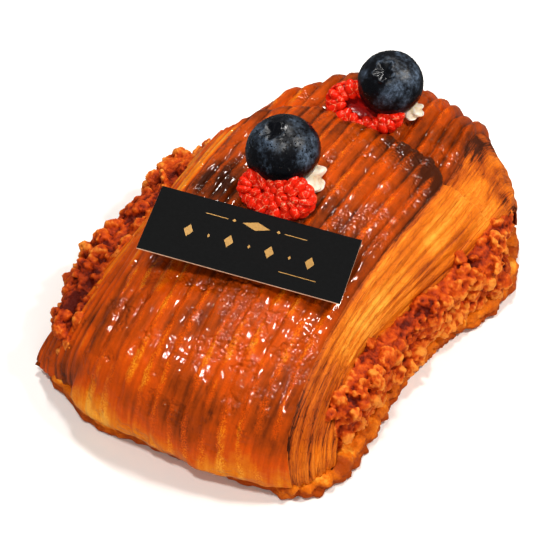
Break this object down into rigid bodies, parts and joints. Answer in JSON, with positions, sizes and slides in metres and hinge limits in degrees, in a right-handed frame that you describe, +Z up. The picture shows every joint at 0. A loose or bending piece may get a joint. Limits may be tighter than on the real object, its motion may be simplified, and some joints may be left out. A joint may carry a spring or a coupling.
{
  "type": "turnover pastry",
  "caption": "Laminated sheet of dough folded over a crumbly filling, glazed and ridged, with berries, cream and a paper label on top.",
  "frame": {"origin": "middle of the bounding box in plan, on the flat underside that the pastry rests on", "axes": "+Y from the front fold to the back end, along the ridges; +X across them, to the right as seen from the front; +Z up"},
  "size_m": [0.0929, 0.1239, 0.0536],
  "materials": {
    "glazed_dough": "egg-glazed baked dough, matte where it is cut",
    "browned_crumb": "rough, browned and crumbly",
    "blueberry_skin": "dark skin with a waxy bloom",
    "raspberry_flesh": "moist red drupelets",
    "whipped_cream": "soft and off-white",
    "label_paper": "uncoated black paper, blank in the solid"
  },
  "bodies": {
    "root": {"pastry_dough": "glazed_dough", "crumb_filling": "browned_crumb", "blueberry_front": "blueberry_skin", "blueberry_back": "blueberry_skin", "raspberry_front": "raspberry_flesh", "raspberry_back": "raspberry_flesh", "cream_front": "whipped_cream", "cream_back": "whipped_cream", "label_card": "label_paper"}
  },
  "joints": []
}
